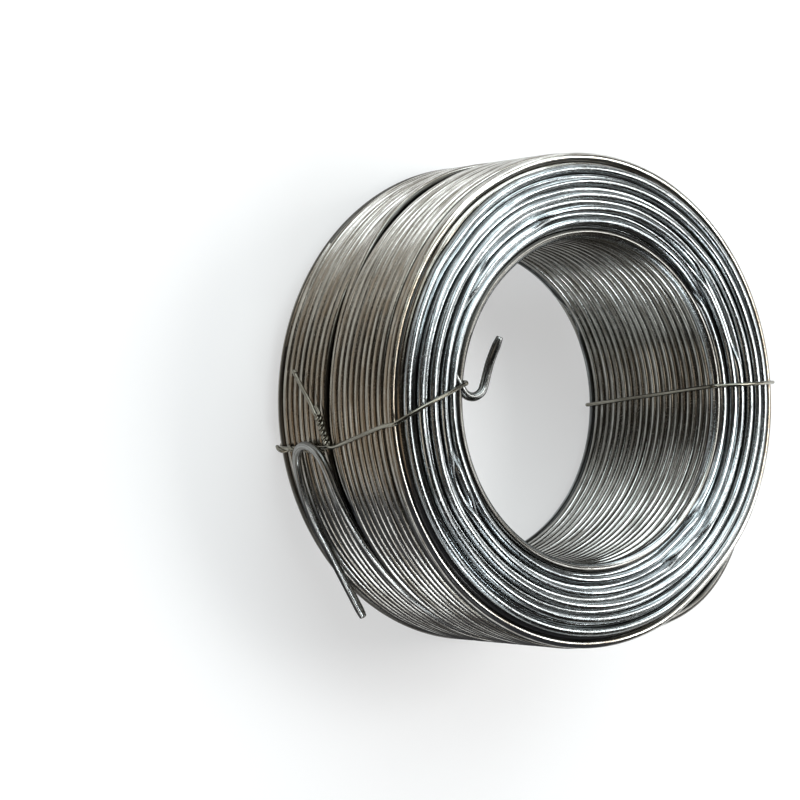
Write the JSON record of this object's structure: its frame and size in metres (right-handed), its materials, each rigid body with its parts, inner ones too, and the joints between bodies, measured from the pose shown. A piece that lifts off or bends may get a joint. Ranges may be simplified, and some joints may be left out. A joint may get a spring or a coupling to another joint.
{
  "type": "coil of binding wire",
  "caption": "Tight ring-shaped coil of galvanised steel wire with an open bore, held by thin wire ties at each side, its hooked outer and inner ends showing.",
  "frame": {"origin": "middle of the coil's bore, on the coil's axis", "axes": "+Z along the coil's axis, up and out of the front end where the inner end of the wire comes out, as the coil stands on its back end, and +X across the coil from the left tie to the right tie"},
  "size_m": [0.1145, 0.11, 0.0512],
  "materials": {
    "galvanised_wire": "bright zinc coating, drawn lengthwise",
    "tie_wire": "paler, slightly dulled zinc coating"
  },
  "bodies": {
    "root": {"wire_coil": "galvanised_wire", "left_tie": "tie_wire", "right_tie": "tie_wire"}
  },
  "joints": []
}
